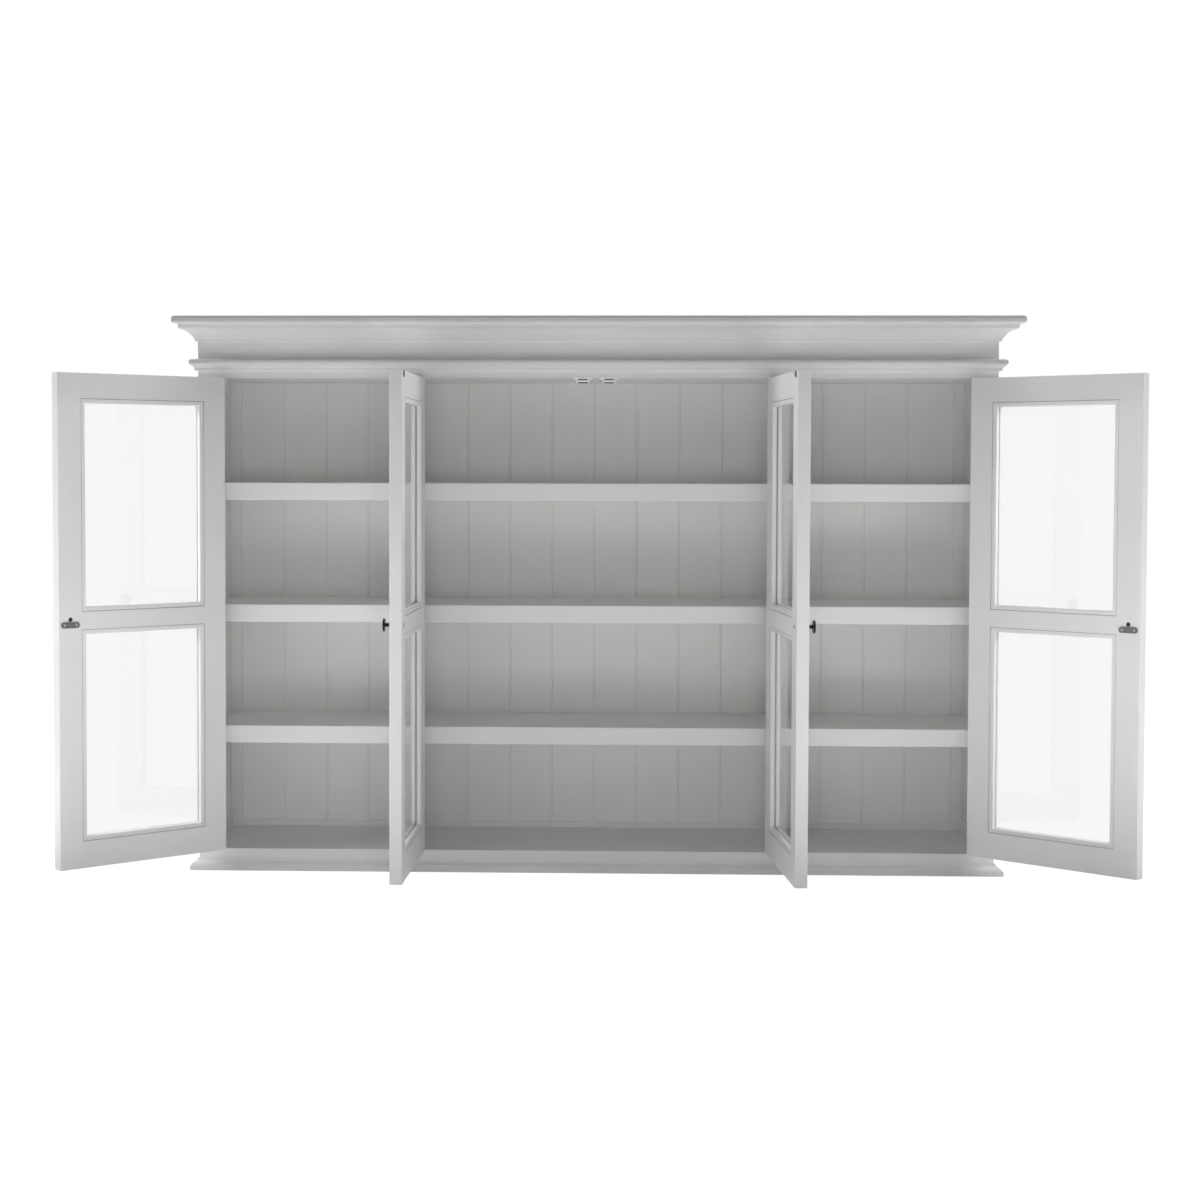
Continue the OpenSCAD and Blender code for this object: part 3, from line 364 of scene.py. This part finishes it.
def painted_moulding(name):
    """Brushed along the front run, and front to back beyond the mitres of the two returns."""
    material, tree, shader = new_material(name)
    place = object_place(tree)
    split = add(tree, "ShaderNodeSeparateXYZ")
    tree.links.new(place, split.inputs[0])
    reach = math_node(tree, "ADD", math_node(tree, "ABSOLUTE", split.outputs[0]), split.outputs[1])
    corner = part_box("front_post_right")[1][0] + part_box("frieze_rail")[0][1]
    returns = math_node(tree, "GREATER_THAN", reach, corner)
    brushed_paint(tree, shader, place, "X", "Y", returns)
    return material


def painted_door(name, door, beads=False):
    """Brushed up the stiles and along the rails of a door, whichever way it hangs.

    The glazing beads are darkened with painted shade in the quirk beside their frame and in the seam on
    the glass.
    """
    paint = bpy.context.scene.hutch_paint
    material, tree, shader = new_material(name)
    place = closed_place(tree, door)
    split = add(tree, "ShaderNodeSeparateXYZ")
    tree.links.new(place, split.inputs[0])
    across, inwards, up = split.outputs
    stile = paint.stile + (paint.bead_width if beads else 0.0)
    middle = HINGE_GAP + paint.door_width / 2
    away = math_node(tree, "SUBTRACT", math_node(tree, "ABSOLUTE", across), middle)
    away = math_node(tree, "ABSOLUTE", away)
    rails = math_node(tree, "LESS_THAN", away, paint.door_width / 2 - stile)
    seam = None
    if beads:
        bottom, top = (corner[2] - PIN_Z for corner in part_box(f"{door}_beads"))
        pane_height = (top - bottom - PANE_GAP) / 2
        rise = math_node(tree, "SUBTRACT", up, (bottom + top) / 2)
        rise = math_node(tree, "ABSOLUTE", rise)
        rise = math_node(tree, "SUBTRACT", rise, (pane_height + PANE_GAP) / 2)
        rise = math_node(tree, "ABSOLUTE", rise)
        # Painted shade: the bead's edge beside the glass and its quirk beside the frame are marked for
        # darkening, standing for their shadow
        seam = math_node(tree, "LESS_THAN", inwards, GLASS_BACK + paint.shaded_seam_depth)
        for reach, half in ((away, paint.door_width / 2 - paint.stile), (rise, pane_height / 2)):
            quirk = math_node(tree, "GREATER_THAN", reach, half - paint.quirk_width)
            seam = math_node(tree, "MAXIMUM", seam, quirk)
    brushed_paint(tree, shader, place, "Z", "X", rails, seam)
    return material


def metal(name, colour, roughness, stain=0.2, bolt=None, door=None):
    """Dull metal with darker stains. Near the knob of a door it takes the colour of the bolt."""
    material, tree, shader = new_material(name)
    place = object_place(tree)
    grain = noise(tree, place, METAL_STAINS, 4.0, 0.6)
    tone = two_tones(tree, grain, shaded(colour, 1.0 - stain), colour)
    if bolt:
        bolt_tone = two_tones(tree, grain, shaded(bolt, 1.0 - stain), bolt)
        tone = choose(tree, beside_knob(tree, place, door), tone, bolt_tone)
    tree.links.new(tone, shader.inputs["Base Color"])
    tree.links.new(spread(tree, grain, roughness + 0.08, roughness - 0.08), shader.inputs["Roughness"])
    shader.inputs["Metallic"].default_value = 1.0
    bump = add(tree, "ShaderNodeBump", Strength=0.6, Distance=0.00005)
    tree.links.new(grain, bump.inputs["Height"])
    tree.links.new(bump.outputs["Normal"], shader.inputs["Normal"])
    return material


def beside_knob(tree, place, door):
    """1 on the bolt of a door's knob, 0 on the screws of its hinges and strike plate."""
    low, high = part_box(f"{door}_knob")
    middle = [(a + b) / 2 for a, b in zip(low, high)]
    offset = vector_node(tree, "SUBTRACT", place, middle)
    reach = vector_node(tree, "LENGTH", offset).node.outputs["Value"]
    split = add(tree, "ShaderNodeSeparateXYZ")
    tree.links.new(offset, split.inputs[0])
    rise = math_node(tree, "ABSOLUTE", split.outputs[2])
    level = math_node(tree, "LESS_THAN", rise, BOLT_RISE)
    return math_node(tree, "MULTIPLY", level, math_node(tree, "LESS_THAN", reach, BOLT_REACH))


def moulded_plastic(name, colour):
    material, tree, shader = new_material(name)
    grain = noise(tree, object_place(tree), PLASTIC_GRAIN)
    tree.links.new(two_tones(tree, grain, shaded(colour, 0.97), colour), shader.inputs["Base Color"])
    tree.links.new(spread(tree, grain, 0.4, 0.55), shader.inputs["Roughness"])
    bump = add(tree, "ShaderNodeBump", Strength=0.5, Distance=0.00004)
    tree.links.new(grain, bump.inputs["Height"])
    tree.links.new(bump.outputs["Normal"], shader.inputs["Normal"])
    return material


def clear_glass(name, tint):
    """Window glass that lets the light of the lamps through."""
    material, tree, shader = new_material(name)
    links = tree.links
    shader.inputs["Base Color"].default_value = (*tint, 1.0)
    shader.inputs["Transmission Weight"].default_value = 1.0
    shader.inputs["IOR"].default_value = 1.5
    shader.inputs["Roughness"].default_value = 0.0
    path = add(tree, "ShaderNodeLightPath")
    through = add(tree, "ShaderNodeBsdfTransparent")
    through.inputs["Color"].default_value = (*tint, 1.0)
    mix = add(tree, "ShaderNodeMixShader")
    links.new(path.outputs["Is Shadow Ray"], mix.inputs[0])
    links.new(shader.outputs["BSDF"], mix.inputs[1])
    links.new(through.outputs["BSDF"], mix.inputs[2])
    links.new(mix.outputs["Shader"], tree.nodes["Material Output"].inputs["Surface"])
    return material


def finish_node(node, material):
    """Gives a CAD node one material on all of its faces."""
    slots = frame["nodes"][node].data.materials
    if not slots:
        slots.append(material)
    for i in range(len(slots)):
        slots[i] = material


class HUTCH_OT_paint_carcass(bpy.types.Operator):
    """Paint the posts, panels, rails, shelves and mouldings"""
    bl_idname = "hutch.paint_carcass"
    bl_label = "Paint Carcass"

    def execute(self, context):
        groups = (("painted_upright", "Z", UPRIGHTS), ("painted_level", "X", LEVEL_BOARDS),
                  ("painted_shelf", "X", SHELVES), ("painted_depth", "Y", FRONT_TO_BACK),
                  ("painted_back", "Z", BACK_BOARDS))
        for name, grain, nodes in groups:
            material = painted_wood(name, grain)
            for node in nodes:
                finish_node(node, material)
        moulding = painted_moulding("painted_moulding")
        for node in MOULDINGS:
            finish_node(node, moulding)
        return {"FINISHED"}


class HUTCH_OT_paint_doors(bpy.types.Operator):
    """Paint the door frames and their glazing beads"""
    bl_idname = "hutch.paint_doors"
    bl_label = "Paint Doors"

    def execute(self, context):
        for door in DOORS:
            finish_node(f"{door}_frame", painted_door(f"painted_{door}_frame", door))
            finish_node(f"{door}_beads", painted_door(f"painted_{door}_beads", door, beads=True))
        return {"FINISHED"}


class HUTCH_OT_glaze(bpy.types.Operator):
    """Glaze the eight panes"""
    bl_idname = "hutch.glaze"
    bl_label = "Glaze Doors"

    def execute(self, context):
        material = clear_glass("pane_glass", context.scene.hutch_glass.tint)
        for door in DOORS:
            finish_node(f"{door}_glass", material)
        return {"FINISHED"}


class HUTCH_OT_fittings(bpy.types.Operator):
    """Finish the knobs, hinges, strike plates, screws and catches"""
    bl_idname = "hutch.fittings"
    bl_label = "Finish Fittings"

    def execute(self, context):
        metals = context.scene.hutch_metal
        bronze = metal("dark_bronze", metals.bronze, roughness=0.38, stain=0.35)
        steel = metal("zinc_steel", metals.steel, roughness=0.42)
        strike = metal("dull_strike", metals.strike, roughness=0.45, stain=0.5)
        for node in ("frame_hinge_leaves", "hinge_pins", "frame_screws"):
            finish_node(node, steel)
        for door in DOORS:
            finish_node(f"{door}_knob", bronze)
            finish_node(f"{door}_strike", strike)
            finish_node(f"{door}_hinge_leaves", steel)
            bolt = metals.painted_bolt if "inner" in door else metals.bolt
            screws = metal(f"{door}_screw", metals.steel, roughness=0.35, stain=0.25, bolt=bolt,
                           door=door)
            finish_node(f"{door}_screws", screws)
        finish_node("catch_bodies", moulded_plastic("catch_plastic", metals.plastic))
        finish_node("catch_magnets", metal("pole_iron", metals.poles, roughness=0.5))
        return {"FINISHED"}


class HUTCH_OT_stage(bpy.types.Operator):
    """Set the floor, the background, the lamps and the camera"""
    bl_idname = "hutch.stage"
    bl_label = "Set Stage"

    def execute(self, context):
        stage = context.scene.hutch_stage
        self.lay_floor()
        self.light_world(stage.ambient)
        for name, place, size, setting in SOFT_BOXES:
            self.hang_lamp(name, place, size, getattr(stage, setting))
        for name, place, size, power in FLOOR_LIGHTS:
            lamp = self.hang_lamp(name, (*place, FLOOR_LIGHT_Z), size, power * stage.floor_light,
                                  (math.pi, 0.0, 0.0))
            lamp.visible_glossy = False
            lamp.visible_transmission = False
        place, size, power, tilt = KICKER
        self.hang_lamp("kicker", place, size, power * stage.floor_light,
                       (math.radians(tilt), 0.0, 0.0))
        self.set_camera(stage)
        context.scene.view_settings.view_transform = "Standard"
        return {"FINISHED"}

    def lay_floor(self):
        near, far = -FLOOR_REACH, FLOOR_REACH
        mesh = bpy.data.meshes.new("floor")
        mesh.from_pydata([(near, near, 0), (far, near, 0), (far, far, 0), (near, far, 0)], [],
                         [(0, 1, 2, 3)])
        floor = bpy.data.objects.new("floor", mesh)
        bpy.context.collection.objects.link(floor)
        material, tree, shader = new_material("pale_floor")
        shader.inputs["Base Color"].default_value = FLOOR_COLOUR
        shader.inputs["Roughness"].default_value = 0.6
        path = add(tree, "ShaderNodeLightPath")
        glow = add(tree, "ShaderNodeEmission")
        mix = add(tree, "ShaderNodeMixShader")
        camera = path.outputs["Is Camera Ray"]
        strength = math_node(tree, "MULTIPLY_ADD", camera, FLOOR_LIFT, 1.0)
        tree.links.new(strength, glow.inputs["Strength"])
        passed = math_node(tree, "MAXIMUM", path.outputs["Is Glossy Ray"],
                           path.outputs["Is Transmission Ray"])
        tree.links.new(math_node(tree, "MULTIPLY_ADD", camera, FLOOR_GLOW, passed), mix.inputs[0])
        tree.links.new(shader.outputs["BSDF"], mix.inputs[1])
        tree.links.new(glow.outputs["Emission"], mix.inputs[2])
        tree.links.new(mix.outputs["Shader"], tree.nodes["Material Output"].inputs["Surface"])
        mesh.materials.append(material)

    def light_world(self, ambient):
        world = bpy.data.worlds.new("white_room")
        bpy.context.scene.world = world
        world.use_nodes = True
        tree = world.node_tree
        path = add(tree, "ShaderNodeLightPath")
        seen = math_node(tree, "MAXIMUM", path.outputs["Is Camera Ray"],
                         math_node(tree, "MAXIMUM", path.outputs["Is Glossy Ray"],
                                   path.outputs["Is Transmission Ray"]))
        strength = math_node(tree, "ADD", math_node(tree, "MULTIPLY", seen, 1.0 - ambient), ambient)
        tree.links.new(strength, tree.nodes["Background"].inputs["Strength"])
        tree.nodes["Background"].inputs["Color"].default_value = (1.0, 1.0, 1.0, 1.0)

    def hang_lamp(self, name, place, size, power, turn=None):
        """A soft box that is turned as given, or else faces the middle of the hutch."""
        light = bpy.data.lights.new(name, "AREA")
        light.shape = "RECTANGLE"
        light.size, light.size_y = size
        light.energy = power
        light.color = LAMP_COLOUR
        lamp = bpy.data.objects.new(name, light)
        bpy.context.collection.objects.link(lamp)
        lamp.visible_camera = False
        lamp.location = place
        aim = Vector(LAMP_AIM) - Vector(place)
        lamp.rotation_euler = turn or aim.to_track_quat("-Z", "Y").to_euler()
        return lamp

    def set_camera(self, stage):
        data = bpy.data.cameras.new("camera")
        camera = bpy.data.objects.new("camera", data)
        bpy.context.collection.objects.link(camera)
        data.sensor_width = 36.0
        data.lens = stage.focal_px * data.sensor_width / PHOTO_PX
        data.shift_x = -stage.centre_px[0] / PHOTO_PX
        data.shift_y = stage.centre_px[1] / PHOTO_PX
        camera.matrix_world = (
            Matrix.Translation(stage.camera_place)
            @ Matrix.Rotation(stage.camera_turn, 4, "Z")
            @ Matrix.Rotation(math.pi / 2 - stage.camera_dip, 4, "X")
            @ Matrix.Rotation(stage.camera_roll, 4, "Z"))
        bpy.context.scene.camera = camera


OPERATORS = (HUTCH_OT_paint_carcass, HUTCH_OT_paint_doors, HUTCH_OT_glaze, HUTCH_OT_fittings,
             HUTCH_OT_stage)
SETTINGS = (("hutch_paint", HutchPaint), ("hutch_glass", HutchGlass), ("hutch_metal", HutchMetal),
            ("hutch_stage", HutchStage))


class HUTCH_PT_panel(bpy.types.Panel):
    """Everything that dresses the hutch"""
    bl_label = "Buffet Hutch"
    bl_space_type = "VIEW_3D"
    bl_region_type = "UI"
    bl_category = "Hutch"

    def draw(self, context):
        for name, group in SETTINGS:
            column = self.layout.column(align=True)
            for prop in group.__annotations__:
                column.prop(getattr(context.scene, name), prop)
        for operator in OPERATORS:
            self.layout.operator(operator.bl_idname)


def register():
    for name, group in SETTINGS:
        bpy.utils.register_class(group)
        setattr(bpy.types.Scene, name, bpy.props.PointerProperty(type=group))
    for operator in OPERATORS:
        bpy.utils.register_class(operator)
    bpy.utils.register_class(HUTCH_PT_panel)


def unregister():
    bpy.utils.unregister_class(HUTCH_PT_panel)
    for operator in reversed(OPERATORS):
        bpy.utils.unregister_class(operator)
    for name, group in reversed(SETTINGS):
        delattr(bpy.types.Scene, name)
        bpy.utils.unregister_class(group)


def main():
    register()
    bpy.ops.hutch.paint_carcass()
    bpy.ops.hutch.paint_doors()
    bpy.ops.hutch.glaze()
    bpy.ops.hutch.fittings()
    bpy.ops.hutch.stage()


if __name__ == "__main__":
    main()
